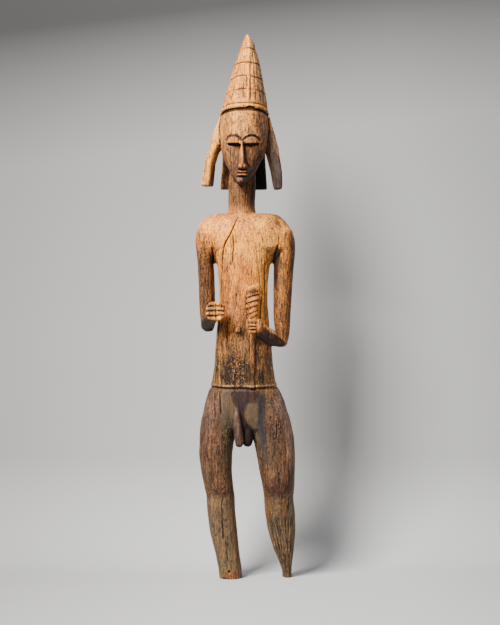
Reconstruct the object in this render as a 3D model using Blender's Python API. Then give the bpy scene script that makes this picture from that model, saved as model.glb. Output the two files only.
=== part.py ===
"""A standing male figure in the Bamana style, carved from one log of hardwood.

Metres, +Z up. The figure faces -Y, so its right arm is at -X. The origin is on the floor under the
middle of its outline, and it stands on the flat ends of its two legs, whose feet are lost.

The free carving is given in shares, which are thousandths of the figure's height. The bands, seams,
locks and rings that a carver gauges on top of it have real sizes of their own.
"""

import math

import bmesh
import bpy
from mathutils import Vector

# Driving dimensions
FIGURE_HEIGHT = 1.10  # floor to the tip of the cap
BELT_WIDTH = 0.008
BELT_PROUD = 0.002
CAP_BAND_WIDTH = 0.008
CAP_BAND_PROUD = 0.0018
CAP_SEAM_WIDTH = 0.0055
CAP_SEAM_PROUD = 0.0016
SIDE_LOCK_DEPTH = 0.036  # front to back
BACK_LOCK_THICKNESS = 0.016
STAFF_WIDTH = 0.011
HILT_RING_COUNT = 6
HILT_RING_SWELL = 0.0013  # how far a ring stands out from the grooves beside it

SHARE = FIGURE_HEIGHT / 1000

# How finely the carving is cut
BODY_SIDES = 28
HEAD_SIDES = 28
LEG_SIDES = 22
ARM_SIDES = 18
SMALL_SIDES = 12

ACROSS = Vector((1, 0, 0))
THROUGH = Vector((0, 1, 0))
UPRIGHT = Vector((0, 0, 1))

# Slopes of the tilted planes
CAP_TILT = -0.15  # rise for each step back: the rim of the cap is high in front
BELT_TILT = 0.07  # rise for each step back: the belt dips in front
HILT_SLANT = 0.27  # rise for each step to the figure's left, of the rings of the hilt

# Where the belt and the seam of the cap are, in shares
BELT_HEIGHT = 355.5
CAP_SEAM_X = 6
CAP_SEAM_TOP = 960

# Rows of (height, left edge, right edge, front, back), in shares, from the top down
TORSO = (
    (655, -50, 50, -24, 28),
    (631, -60, 58, -37, 37.5),
    (600, -58, 53, -40, 37),
    (572, -50, 46, -40, 32),
    (540, -47, 42, -40, 28),
    (500, -46, 42, -40.5, 27),
    (470, -50, 44.5, -42, 26),
    (425, -54, 49, -43, 28),
    (388, -55.5, 52, -40, 34),
    (345, -63, 59, -36, 42),
)
YOKE = (
    (669, -46, 46, -16, 21),
    (667, -60, 60, -24, 28),
    (660, -73, 70, -30, 33),
    (649, -83.5, 80, -35, 37),
    (634, -89.5, 89, -38.5, 39),
    (618, -91.5, 93, -40, 39),
    (606, -90, 93, -38.5, 36),
    (592, -84, 88, -26, 27),
    (577, -66, 66, -10, 13),
)
PELVIS = (
    (360, -57, 55, -33, 38),
    (344, -66, 64, -38, 43),
    (319, -74, 75, -40, 45),
    (296, -77, 80, -39, 44),
    (276, -73, 77, -34, 37),
    (256, -52, 54, -20, 22),
)
RIGHT_LEG = (
    (342, -63, -5, -31, 39),
    (318, -73, -4, -37, 45),
    (290, -80, -8, -40, 44),
    (262, -83, -17, -40, 38),
    (230, -84, -23, -40, 32),
    (196, -80, -24, -38, 28),
    (172, -75, -21, -38, 25),
    (160, -72.5, -20, -36, 25),
    (153, -70.5, -19, -32, 26),
    (120, -69, -17, -28, 28),
    (85, -64, -14, -25, 28),
    (48, -55, -10, -23, 24),
    (18, -48.5, -6, -23, 23),
    (0, -46.5, -5, -23, 23),
)
LEFT_LEG = (
    (342, 4, 62, -31, 39),
    (318, 2, 74, -37, 45),
    (290, 7, 84, -40, 44),
    (262, 13, 90, -40, 38),
    (230, 21, 92, -40, 32),
    (196, 27, 92, -38, 28),
    (170, 32, 91, -37, 26),
    (155.5, 34.5, 90, -34, 27),
    (148.5, 35, 89, -30, 29),
    (115, 37, 93, -24, 32),
    (85, 43, 93.5, -19, 33),
    (52, 53, 91, -14, 32),
    (28, 63, 88, -9, 31),
    (12, 68.5, 86, -6, 30),
    (0, 69, 87, -5, 29),
)
RIGHT_ARM = (
    (640, -85, -48, -24, 28),
    (618, -91, -52, -25, 30),
    (598, -89, -57, -21, 27),
    (575, -86.5, -57, -17, 23),
    (530, -84.5, -54.5, -16, 21),
    (484, -83, -55, -15, 20),
    (463, -80, -55, -14, 18),
    (453, -74, -59, -9, 13),
)
LEFT_ARM = (
    (640, 48, 87, -24, 28),
    (618, 50, 93, -25, 30),
    (598, 56, 93, -21, 27),
    (575, 53, 90.5, -17, 23),
    (530, 52.5, 87.5, -16, 21),
    (480, 53, 84.5, -15, 20),
    (451, 55, 83, -15, 19),
    (434, 56, 79, -13, 17),
    (424, 61, 73, -7, 10),
)
HEAD = (
    (870, -31, 32, -39, 42),
    (860, -40, 40, -47, 50),
    (846, -44, 43, -51, 52),
    (828, -46, 44.5, -55, 51),
    (811, -46, 44, -57, 50),
    (798, -45, 42.5, -56, 48),
    (787, -44, 40, -52, 44),
    (774, -40.5, 36, -49.5, 39),
    (760, -35, 27.5, -48, 34),
    (748, -29.5, 22, -48, 28),
    (736, -22.5, 13.5, -48, 20),
    (726, -16, 5, -46, 11),
    (719.5, -11, -1, -42, -9),
)
NECK = (
    (752, -27, 19, -14, 28),
    (732, -30, 21, -16, 30),
    (686, -31, 19, -17, 30),
    (672, -31, 20, -19, 31),
    (663, -36, 25, -22, 33),
)

# Stations of (x, y, z, half width, half depth), in shares
CAP = (
    (-0.5, 1.5, 850, 43, 51),
    (0, 2, 861, 42, 50.5),
    (1.3, 3, 879, 38.4, 46.5),
    (3.5, 6, 916, 30, 36.5),
    (5, 9, 953, 20.5, 25.5),
    (6.5, 12, 984, 10.7, 13),
    (5, 12, 997, 4, 5),
    (4.5, 12, 999.8, 1.2, 1.6),
)
RIGHT_SIDE_LOCK = (
    (-37, 6, 852, 7, 0.85),
    (-38.5, 5, 840, 8, 0.9),
    (-44.5, 4, 822, 10, 1),
    (-51.5, 3, 796, 11.5, 1),
    (-58, 1, 780, 8.5, 1),
    (-63.5, -1, 760, 8, 1),
    (-67, -2, 738, 9.3, 0.95),
    (-68.4, -2, 722, 9.8, 0.9),
    (-68.2, -2, 718.5, 8, 0.8),
)
LEFT_SIDE_LOCK = (
    (36, 6, 852, 7, 0.85),
    (40.5, 5, 832, 8, 0.9),
    (44.5, 4, 812, 9.5, 1),
    (49, 3, 788, 11.5, 1),
    (53.5, 1, 767, 10, 1),
    (58, -1, 745, 9, 1),
    (60, -2, 724, 7.6, 0.95),
    (60.6, -2, 716.5, 6.6, 0.9),
    (60.8, -2, 712.5, 4.8, 0.8),
)
BACK_LOCK = (
    (0, 36, 813, 9, 1),
    (0, 42, 793, 10.5, 1),
    (0.5, 44, 769, 11, 1),
    (1.5, 45, 742, 11.5, 1),
    (2.5, 45, 722, 12, 1),
    (2.5, 45, 716.5, 12, 0.95),
)
BACK_LOCK_X = (-31, 27)
SIDE_LOCK_TURN = 0.25  # how much a side lock closes in for each step back
NOSE = (
    (-5.4, -50, 798.5, 4, 9),
    (-5.2, -50, 785, 4, 10),
    (-4.8, -50.5, 768, 4.6, 11),
    (-4.4, -51, 757, 6, 11.5),
    (-4, -51, 750.5, 9, 11),
    (-4, -50, 745.5, 8.5, 9),
)
EYELID = (
    (0, 0, 792.5, 14, 10),
    (0, 0, 799, 13.2, 9.7),
    (0, 0, 804.5, 9.5, 9),
    (0, 0, 808.5, 3.5, 8),
)
EYELID_CENTRE = ((-18.5, -46), (11.5, -46))
EYELID_TURN = 0.38  # how much a lid falls back for each step out from the nose
RIGHT_FOREARM = (
    (-68, 16, 462, 9, 9),
    (-68, 6, 465, 13.5, 14),
    (-67, -14, 472, 13.5, 13.5),
    (-61, -36, 480, 13.5, 14),
    (-56, -52, 486, 14.5, 15),
    (-55, -60, 488, 11, 11),
)
LEFT_FOREARM = (
    (71, 9, 432, 6, 5),
    (67, 5, 433, 12, 10),
    (55, -12, 438, 13, 13),
    (42, -30, 445, 12.5, 14),
    (31, -44, 453, 11, 13.5),
    (25, -52, 459, 9, 12),
)
HILT = (
    (16.5, -41, 537, 12, 5),
    (16.5, -42, 533, 13, 8),
    (15.5, -42, 512, 11.5, 8.5),
    (15.3, -42, 494, 9, 8.5),
    (15.3, -43, 478, 8.5, 8),
    (15, -43, 462, 8, 7),
)
STAFF = (
    (15, -42, 474, 1, 1),
    (14.7, -42.5, 440, 1, 1),
    (13.5, -40.5, 401, 0.85, 0.9),
    (13, -38, 374, 0.9, 0.9),
    (13, -35, 348, 1, 1),
)
PHALLUS = (
    (-13, -31, 323, 4, 6),
    (-13, -37, 302, 6.5, 8),
    (-11.5, -39, 275, 8, 8),
    (-10, -38, 254, 8, 8),
    (-10, -37.5, 247, 6.8, 6.8),
    (-9.8, -37, 243.5, 3.4, 3.6),
)
SCROTUM = (
    (4, -20, 292, 5, 7),
    (4, -26, 272, 8.4, 9),
    (4, -28, 255, 8.8, 8.6),
    (4, -27.5, 247, 7.2, 7),
    (4, -27, 243.5, 3.6, 3.8),
)
NAVEL = (
    (-11.5, -36, 457, 6, 7),
    (-11.5, -44, 456, 5.5, 6.5),
    (-12, -49, 455, 4, 5),
)

# Ellipsoids of (centre, radii), in shares
CHIN = ((-6.2, -40, 727), (9, 11, 8))
UPPER_LIP = ((-4.2, -48, 741.3), (10.8, 8, 2.9))
LOWER_LIP = ((-4.2, -47, 736), (10, 8, 2.7))
BUTTOCK_X = (-31, 33)
BUTTOCK = ((0, 27, 316), (30, 24, 34))
RIGHT_PALM = ((-53, -57, 489), (18, 13, 18))
RIGHT_THUMB = ((-36, -57, 496), (5, 9, 11))
LEFT_THUMB = ((25.5, -52, 461), (8, 15, 15))

# Hands: (x of the knuckles, x of the fingertips, height of the top finger, front), in shares
RIGHT_HAND = (-68, -39, 502, -64)
LEFT_HAND = (22, 6, 472, -55)
FINGER_COUNT = 4
RIGHT_FINGER_PITCH = 8.6
LEFT_FINGER_PITCH = 6.6
FINGER_OVERLAP = 1.12  # a finger's thickness over its pitch, so that neighbours meet
FIST_BOW = 2.5  # how much further out the middle of a fist is than its ends


def ring(centre, across, through, squareness, sides):
    """A superellipse round centre. Squareness 2 is an ellipse, and more is boxier."""
    points = []
    for i in range(sides):
        angle = 2 * math.pi * (i + 0.5) / sides
        c, s = math.cos(angle), math.sin(angle)
        u = math.copysign(abs(c) ** (2 / squareness), c)
        v = math.copysign(abs(s) ** (2 / squareness), s)
        points.append(centre + across * u + through * v)
    return points


def skin(name, rings):
    """One closed solid over rings of as many points each, with flat ends."""
    bm = bmesh.new()
    loops = [[bm.verts.new(point) for point in points] for points in rings]
    sides = len(loops[0])
    for upper, lower in zip(loops, loops[1:]):
        for i in range(sides):
            j = (i + 1) % sides
            bm.faces.new((upper[i], upper[j], lower[j], lower[i]))
    bm.faces.new(loops[0])
    bm.faces.new(loops[-1])
    bmesh.ops.recalc_face_normals(bm, faces=bm.faces)
    mesh = bpy.data.meshes.new(name)
    bm.to_mesh(mesh)
    bm.free()
    return bpy.data.objects.new(name, mesh)


def loft(name, stations, across=ACROSS, through=THROUGH, squareness=2.2, sides=SMALL_SIDES):
    """A solid through stations of (x, y, z, half width, half depth) in shares."""
    rings = [
        ring(Vector((x, y, z)) * SHARE, across * wide * SHARE, through * deep * SHARE, squareness, sides)
        for x, y, z, wide, deep in stations
    ]
    return skin(name, rings)


def stations_of(edges):
    """Stations from rows of (height, left edge, right edge, front, back)."""
    return [
        ((left + right) / 2, (front + back) / 2, height, (right - left) / 2, (back - front) / 2)
        for height, left, right, front, back in edges
    ]


def outline_loft(name, edges, **shape):
    return loft(name, stations_of(edges), **shape)


def ellipsoid(name, centre, radii):
    bm = bmesh.new()
    bmesh.ops.create_uvsphere(bm, u_segments=12, v_segments=7, radius=1)
    bmesh.ops.scale(bm, vec=Vector(radii) * SHARE, verts=bm.verts)
    bmesh.ops.translate(bm, vec=Vector(centre) * SHARE, verts=bm.verts)
    mesh = bpy.data.meshes.new(name)
    bm.to_mesh(mesh)
    bm.free()
    return bpy.data.objects.new(name, mesh)


def section_at(stations, height):
    """The station at a height, between the two beside it."""
    for above, below in zip(stations, stations[1:]):
        if min(above[2], below[2]) <= height <= max(above[2], below[2]):
            t = (height - above[2]) / (below[2] - above[2])
            return [a + (b - a) * t for a, b in zip(above, below)]
    return list(stations[-1])


def band(name, sections, half_width, proud, tilt, squareness, sides):
    """A rounded band that stands proud round a form, at the height of its section."""
    through = THROUGH + UPRIGHT * tilt
    (x, y, z, wide, deep) = sections
    profile = ((-1, -proud), (0, proud), (1, -proud))
    rings = [
        ring(
            Vector((x, y, z)) * SHARE + UPRIGHT * (rise * half_width),
            ACROSS * (wide * SHARE + out),
            through * (deep * SHARE + out),
            squareness,
            sides,
        )
        for rise, out in profile
    ]
    return skin(name, rings)


def cap_forms():
    """The pointed cap, its rim band, and the seam up its front."""
    through = THROUGH + UPRIGHT * CAP_TILT
    body = loft("cap", CAP, through=through, sides=HEAD_SIDES)
    rim_height = CAP[0][2] + CAP_BAND_WIDTH / SHARE / 2
    rim = band(
        "cap_band",
        section_at(CAP, rim_height),
        CAP_BAND_WIDTH / 2,
        CAP_BAND_PROUD,
        CAP_TILT,
        2.2,
        HEAD_SIDES,
    )
    seam_half = CAP_SEAM_WIDTH / SHARE / 2
    sunk = seam_half - CAP_SEAM_PROUD / SHARE / 2
    seam = [
        (CAP_SEAM_X, y - deep + sunk, z - CAP_TILT * deep, seam_half, seam_half)
        for x, y, z, wide, deep in CAP
        if z <= CAP_SEAM_TOP
    ]
    return [body, rim, loft("cap_seam", seam, sides=8)]


def lock_forms():
    """The two locks that flare at the sides of the head, and the two that hang behind it."""
    side_depth = SIDE_LOCK_DEPTH / SHARE / 2
    forms = []
    for name, way, stations in (("right_side_lock", 1, RIGHT_SIDE_LOCK), ("left_side_lock", -1, LEFT_SIDE_LOCK)):
        sized = [(x, y, z, wide, deep * side_depth) for x, y, z, wide, deep in stations]
        inwards = THROUGH + ACROSS * (way * SIDE_LOCK_TURN)
        forms.append(loft(name, sized, through=inwards, squareness=3.4, sides=SMALL_SIDES))
    back_depth = BACK_LOCK_THICKNESS / SHARE / 2
    for name, middle, way in zip(("right_back_lock", "left_back_lock"), BACK_LOCK_X, (-1, 1)):
        sized = [(middle + way * x, y, z, wide, deep * back_depth) for x, y, z, wide, deep in BACK_LOCK]
        forms.append(loft(name, sized, squareness=3.4, sides=SMALL_SIDES))
    return forms


def head_forms():
    """The head with its brow step, eyelids, nose, lips and chin."""
    lids = []
    for name, way, (lid_x, lid_y) in zip(("right_eyelid", "left_eyelid"), (-1, 1), EYELID_CENTRE):
        across = (ACROSS + THROUGH * (way * EYELID_TURN)).normalized()
        placed = [(lid_x + x, lid_y + y, z, wide, deep) for x, y, z, wide, deep in EYELID]
        lids.append(loft(name, placed, across=across, through=UPRIGHT.cross(across), sides=14))
    return [
        outline_loft("head", HEAD, sides=HEAD_SIDES),
        outline_loft("neck", NECK, sides=20, squareness=2.1),
        loft("nose", NOSE, squareness=2.4),
        ellipsoid("upper_lip", *UPPER_LIP),
        ellipsoid("lower_lip", *LOWER_LIP),
        ellipsoid("chin", *CHIN),
    ] + lids


def finger_forms(hand, side, pitch):
    """Bent fingers stacked in a fist. The middle ones reach further out than the first and last."""
    knuckle, tip, top, front = hand
    half = pitch * FINGER_OVERLAP / 2
    swell = ((0, 0.7), (0.1, 1), (0.48, 0.88), (0.88, 1), (1, 0.65))
    forms = []
    for i in range(FINGER_COUNT):
        height = top - i * pitch
        reach = FIST_BOW * math.sin(math.pi * (i + 0.5) / FINGER_COUNT)
        finger = [
            (knuckle - reach + (tip - knuckle + 2 * reach) * t, front - reach, height, half * size, half * 1.6 * size)
            for t, size in swell
        ]
        forms.append(loft(f"{side}_finger_{i + 1}", finger, across=UPRIGHT, squareness=2.8, sides=8))
    return forms


def hilt_form():
    """The ringed hilt above the left fist. Its rings slant, and its top is a plain block."""
    across = (ACROSS + UPRIGHT * HILT_SLANT).normalized()
    top, bottom = HILT[1][2], HILT[-1][2]
    pitch = (top - bottom) / (HILT_RING_COUNT + 1)
    swell = HILT_RING_SWELL / SHARE
    stations = [HILT[0], HILT[1]]
    steps_each = 2
    for i in range(1, HILT_RING_COUNT * steps_each + steps_each):
        x, y, z, wide, deep = section_at(HILT, top - i * pitch / steps_each)
        out = 0 if i < steps_each else -swell * math.cos(2 * math.pi * i / steps_each)
        stations.append((x, y, z, wide + out, deep + out))
    stations.append(HILT[-1])
    return loft("hilt", stations, across=across, squareness=2.6, sides=12)


def hand_forms():
    """Both forearms and fists, and the ringed staff that the left one holds to the belly."""
    staff_half = STAFF_WIDTH / SHARE / 2
    staff = [(x, y, z, wide * staff_half, deep * staff_half) for x, y, z, wide, deep in STAFF]
    forms = [
        loft("right_forearm", RIGHT_FOREARM, through=UPRIGHT, sides=18),
        loft("left_forearm", LEFT_FOREARM, through=UPRIGHT, sides=18),
        ellipsoid("right_palm", *RIGHT_PALM),
        ellipsoid("right_thumb", *RIGHT_THUMB),
        ellipsoid("left_thumb", *LEFT_THUMB),
        hilt_form(),
        loft("staff", staff, squareness=2.6, sides=10),
    ]
    forms += finger_forms(RIGHT_HAND, "right", RIGHT_FINGER_PITCH)
    forms += finger_forms(LEFT_HAND, "left", LEFT_FINGER_PITCH)
    return forms


def body_forms():
    """Everything below the neck except the torso itself, the forearms and the hands."""
    belt_section = section_at(stations_of(TORSO), BELT_HEIGHT)
    buttock_centre, buttock_radii = BUTTOCK
    buttocks = [
        ellipsoid(name, (x, buttock_centre[1], buttock_centre[2]), buttock_radii)
        for name, x in zip(("right_buttock", "left_buttock"), BUTTOCK_X)
    ]
    return [
        outline_loft("shoulders", YOKE, sides=BODY_SIDES, squareness=1.9),
        outline_loft("pelvis", PELVIS, sides=BODY_SIDES, squareness=2.4),
        outline_loft("right_leg", RIGHT_LEG, sides=LEG_SIDES, squareness=2.3),
        outline_loft("left_leg", LEFT_LEG, sides=LEG_SIDES, squareness=2.3),
        outline_loft("right_upper_arm", RIGHT_ARM, sides=ARM_SIDES),
        outline_loft("left_upper_arm", LEFT_ARM, sides=ARM_SIDES),
        band("belt", belt_section, BELT_WIDTH / 2, BELT_PROUD, BELT_TILT, 2.4, BODY_SIDES),
        loft("phallus", PHALLUS),
        loft("scrotum", SCROTUM),
        loft("navel", NAVEL, through=UPRIGHT),
    ] + buttocks


def wood_material():
    material = bpy.data.materials.new("weathered_hardwood")
    material.use_nodes = True
    shader = material.node_tree.nodes["Principled BSDF"]
    shader.inputs["Base Color"].default_value = (0.40, 0.24, 0.12, 1)
    shader.inputs["Roughness"].default_value = 0.62
    shader.inputs["Metallic"].default_value = 0
    return material


def main():
    for obj in list(bpy.data.objects):
        bpy.data.objects.remove(obj)
    scene = bpy.context.scene
    whole = bpy.data.collections.new("bamana_male_figure")
    joined = bpy.data.collections.new("carved_forms")
    scene.collection.children.link(whole)
    scene.collection.children.link(joined)

    figure = outline_loft("male_figure", TORSO, sides=BODY_SIDES, squareness=2.4)
    whole.objects.link(figure)
    figure.data.materials.append(wood_material())

    forms = body_forms() + hand_forms() + head_forms() + cap_forms() + lock_forms()
    corners = [vertex.co for form in forms for vertex in form.data.vertices]
    middle = Vector([(min(c[axis] for c in corners) + max(c[axis] for c in corners)) / 2 for axis in (0, 1)] + [0])
    figure.location = -middle
    for form in forms:
        form.location = -middle
        form.hide_render = True
        form.display_type = "WIRE"
        joined.objects.link(form)
    union = figure.modifiers.new("one piece of wood", "BOOLEAN")
    union.operation = "UNION"
    union.operand_type = "COLLECTION"
    union.collection = joined
    union.solver = "EXACT"


main()
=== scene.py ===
"""The looks of the Bamana male figure: its finely carved, weathered wood, and a plain studio round it.

The CAD solid is cut into small cells and its facets are faired away. Then the fine carving, the
cracks and the worn places are pressed into it, and each cell learns how pale, red, olive, grey or
orange its wood is, which the wood's material reads.

Places on the figure are in shares, which are thousandths of its height: across (to its left, +X)
and through (to its back, +Y) from the log's axis, and up from the floor. Some carving is placed in
the photograph's pixels, as (column, row), seen from its camera, and it goes on the surface that
shows there. The figure's right is on the photograph's left.
"""

import math

import bmesh
import bpy
import numpy as np
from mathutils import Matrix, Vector


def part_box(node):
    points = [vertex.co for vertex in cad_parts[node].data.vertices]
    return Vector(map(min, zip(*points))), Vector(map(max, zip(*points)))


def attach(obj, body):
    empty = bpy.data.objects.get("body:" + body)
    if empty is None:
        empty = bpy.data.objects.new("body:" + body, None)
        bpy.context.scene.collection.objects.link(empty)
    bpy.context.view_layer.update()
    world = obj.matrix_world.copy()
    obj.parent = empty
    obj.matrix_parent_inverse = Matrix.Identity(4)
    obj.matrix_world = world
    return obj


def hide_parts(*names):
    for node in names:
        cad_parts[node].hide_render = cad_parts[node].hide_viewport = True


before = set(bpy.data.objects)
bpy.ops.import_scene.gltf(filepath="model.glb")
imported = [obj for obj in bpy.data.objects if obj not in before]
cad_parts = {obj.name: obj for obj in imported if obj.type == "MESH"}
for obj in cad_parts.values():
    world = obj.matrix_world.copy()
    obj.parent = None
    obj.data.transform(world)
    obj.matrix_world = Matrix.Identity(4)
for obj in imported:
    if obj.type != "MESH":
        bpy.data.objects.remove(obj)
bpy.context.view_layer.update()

# The figure in the frame
NODE = "male_figure"
BODY = "root"
LOW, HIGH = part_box(NODE)
SHARE = HIGH.z / 1000
AXIS_X, AXIS_Y = -0.0013, 0.0109  # the log's axis
MM = 0.001

# The photograph's camera
PICTURE_WIDE, PICTURE_TALL = 500, 625
PIXEL = 0.002022  # metres a pixel, at the log's axis
FOCAL_PIXELS = 1500
AXIS_COLUMN = 244.8
EYE_HEIGHT = 487  # in shares
EYE = Vector((
    AXIS_X + (PICTURE_WIDE / 2 - AXIS_COLUMN) * PIXEL,
    AXIS_Y - FOCAL_PIXELS * PIXEL,
    EYE_HEIGHT * SHARE,
))
SENSOR = 24.0  # mm, along the picture's longer side

# The carved surface
CELL = 0.0012
MOST_TRIANGLES = 190_000
BOX_MARGIN = 0.00001  # the skin stays this far inside the solid's box
FAIRING_PASSES = 85
FACET_DEPTH = 0.4 * MM  # a departure from the faired form that is a facet
CARVING_DEPTH = 1.0 * MM  # and one that is carving, which stays
GROOVE_WANDER = 0.9  # pixels that a groove strays from its route
EDGE_WANDER = 3  # and that a stain's edge does

# Tilted planes of the carving: going back, the cap's rim and rings fall by their slope for each
# step, and the belt rises by its tilt
CAP_SLOPE = 0.15
RING_SLOPE = 0.23
BELT_HEIGHT, BELT_TILT = 355.5, 0.07


def step(start, end, value):
    """0 before start and 1 after end, with a smooth change between them."""
    t = np.clip((value - start) / (end - start), 0, 1)
    return t * t * (3 - 2 * t)


def noise(places, cell, seed):
    """Smooth noise from 0 to 1 at places. A cell is (across, through, up), in the places' units."""
    grid = places / np.array(cell) + 1000.5
    base = np.floor(grid).astype(np.int64)
    part = grid - base
    part = part * part * (3 - 2 * part)
    total = np.zeros(len(places))
    for corner in np.ndindex(2, 2, 2):
        key = base + corner
        # A hash of the corner's place: large odd numbers mix its three counts and the seed
        mixed = key[:, 0] * 73856093 ^ key[:, 1] * 19349663 ^ key[:, 2] * 83492791 ^ seed * 2654435761
        mixed = (mixed ^ (mixed >> 13)) * 1274126177 & 0xFFFFFFFF
        mixed = (mixed ^ (mixed >> 16)) & 0xFFFF
        weight = np.prod(np.where(corner, part, 1 - part), axis=1)
        total += weight * mixed / 0xFFFF
    return total


class Surface:
    """The figure's skin as small cells: where each corner is, and which corners are beside it."""

    def __init__(self, mesh):
        self.mesh = mesh
        self.count = len(mesh.vertices)
        self.places = self.read()
        edges = np.empty(len(mesh.edges) * 2, np.int32)
        mesh.edges.foreach_get("vertices", edges)
        edges = edges.reshape(-1, 2)
        source = np.concatenate((edges[:, 0], edges[:, 1]))
        target = np.concatenate((edges[:, 1], edges[:, 0]))
        order = np.argsort(source, kind="stable")
        source, target = source[order], target[order]
        self.degree = np.bincount(source, minlength=self.count)
        first = np.cumsum(self.degree) - self.degree
        self.beside = np.full((self.degree.max(), self.count), self.count)
        self.beside[np.arange(len(source)) - first[source], source] = target

    def read(self):
        flat = np.empty(self.count * 3, np.float32)
        self.mesh.vertices.foreach_get("co", flat)
        return flat.reshape(-1, 3).astype(float)

    def write(self):
        self.mesh.vertices.foreach_set("co", self.places.astype(np.float32).ravel())
        self.mesh.update()

    def normals(self):
        self.write()
        flat = np.empty(self.count * 3, np.float32)
        self.mesh.vertex_normals.foreach_get("vector", flat)
        return flat.reshape(-1, 3).astype(float)

    def smooth(self, values, passes, rate=0.8):
        """The values, each moved towards the mean of those beside it, so many times."""
        values = values.astype(np.float32)
        flat = values.reshape(self.count, -1)
        padded = np.zeros((self.count + 1, flat.shape[1]), np.float32)
        share = (rate / self.degree).astype(np.float32)[:, None]
        for _ in range(passes):
            padded[:-1] = flat
            total = padded[self.beside[0]]
            for row in self.beside[1:]:
                total += padded[row]
            flat = flat * np.float32(1 - rate) + total * share
        return flat.reshape(values.shape).astype(float)

    def hollow(self, normals, passes):
        """How far each corner lies below the smoothed surface round it, in mm."""
        return ((self.smooth(self.places, passes) - self.places) * normals).sum(1) / MM


def cut_into_cells(node):
    """A mesh of even small cells over the node's solid."""
    bm = bmesh.new()
    bm.from_mesh(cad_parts[node].data)
    bmesh.ops.remove_doubles(bm, verts=bm.verts, dist=1e-6)
    mesh = bpy.data.meshes.new("cut_figure")
    bm.to_mesh(mesh)
    bm.free()
    piece = bpy.data.objects.new("cut_figure", mesh)
    bpy.context.scene.collection.objects.link(piece)
    cells = piece.modifiers.new("cells", "REMESH")
    cells.mode = "VOXEL"
    cells.voxel_size = CELL
    graph = bpy.context.evaluated_depsgraph_get()
    fine = bpy.data.meshes.new_from_object(piece.evaluated_get(graph))
    bpy.data.objects.remove(piece)
    return fine


def in_shares(places):
    return (places - (AXIS_X, AXIS_Y, 0)) / SHARE


def crisp(places):
    """Where the carving is crisp: 1 there, and 0 on the broad forms."""
    across, through, up = in_shares(places).T
    rim_height = up + CAP_SLOPE * (through - 1.5)
    fists = (through < -36) & (up > 345) & (up < 545) & (np.abs(across) < 80)
    face = (through < -40) & (up > 712) & (up < 812)
    belt = np.abs(up - BELT_HEIGHT - BELT_TILT * through) < 6
    rim = (rim_height > 843) & (rim_height < 862)
    seam = (rim_height > 850) & (through < 5) & (np.abs(across - 6) < 5)
    groin = (through < -22) & (up > 240) & (up < 325) & (np.abs(across + 3) < 18)
    ends = up < 10
    locks = (up > 705) & (up < 815) & (np.hypot(across / 48, (through - 5) / 44) > 1)
    return (fists | face | belt | rim | seam | groin | ends | locks).astype(float)


def shoulders(places):
    """Where the arms run into the yoke in one smooth curve: 1 there, and 0 elsewhere."""
    across, _, up = in_shares(places).T
    return step(42, 50, np.abs(across)) * step(618, 628, up) * step(690, 682, up)


def fair(surface):
    """Takes the facets off the broad forms, and keeps the carving's own edges."""
    rough = surface.places
    broad = surface.smooth(rough, FAIRING_PASSES)
    broad += surface.smooth(rough - broad, FAIRING_PASSES)
    off = np.linalg.norm(rough - broad, axis=1)
    keep = step(FACET_DEPTH, CARVING_DEPTH, off)
    keep = np.maximum(keep, crisp(rough)) * (1 - shoulders(rough))
    keep = np.clip(surface.smooth(keep, 5) * 1.5, 0, 1)[:, None]
    surface.places = broad + (surface.smooth(rough, 2, 0.5) - broad) * keep


surface = Surface(cut_into_cells(NODE))
fair(surface)

# Where each corner is, on the figure and in the photograph
shares = in_shares(surface.places)
across, through, up = shares.T
aside = np.abs(across)
normals = surface.normals()
depth_from_eye = surface.places[:, 1] - EYE.y
column = PICTURE_WIDE / 2 + FOCAL_PIXELS * (surface.places[:, 0] - EYE.x) / depth_from_eye
row = PICTURE_TALL / 2 - FOCAL_PIXELS * (surface.places[:, 2] - EYE.z) / depth_from_eye
front = step(0.05, 0.4, -normals[:, 1])

# What the carving does: how far it moves each corner outwards, and how dark the wood is there, with dirt and
# with painted shade
push = np.zeros(surface.count)
stain_and_shade = np.zeros(surface.count)


def swing(cell, seed):
    """Noise from -0.5 to 0.5 over the figure, in cells of this size."""
    return noise(shares, cell, seed) - 0.5


def raise_by(height, where):
    """Raises the wood by a height in mm where a mask is 1. Below 0 it sinks."""
    push[:] += height * MM * where


def darken(amount, where):
    """Darkens the wood where a mask is 1, if it isn't darker already: dirt in some places, painted shade in
    others.
    """
    np.maximum(stain_and_shade, amount * where, out=stain_and_shade)


def press(depth, where, dark):
    """Presses the wood in to a depth in mm where a mask is 1, if it isn't deeper already."""
    np.minimum(push, -depth * MM * where, out=push)
    darken(dark, where)


def round_place(x, y, half_width, half_height):
    """How far each corner is from a place in the photograph: 1 at the half width and half height."""
    return np.hypot((column - x) / half_width, (row - y) / half_height)


def distance_to(route, x, y):
    """How far the places (x, y) are from a route of points, and how far along it they are, 0 to 1."""
    nearest = np.full(len(x), np.inf)
    along = np.zeros(len(x))
    lengths = [math.dist(a, b) for a, b in zip(route, route[1:])]
    done = 0
    for (ax, ay), (bx, by), length in zip(route, route[1:], lengths):
        t = np.clip(((x - ax) * (bx - ax) + (y - ay) * (by - ay)) / length**2, 0, 1)
        off = np.hypot(x - ax - t * (bx - ax), y - ay - t * (by - ay))
        closer = off < nearest
        nearest[closer] = off[closer]
        along[closer] = (done + t[closer] * length) / sum(lengths)
        done += length
    return nearest, along


wander = swing((9, 9, 14), 3)


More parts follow.
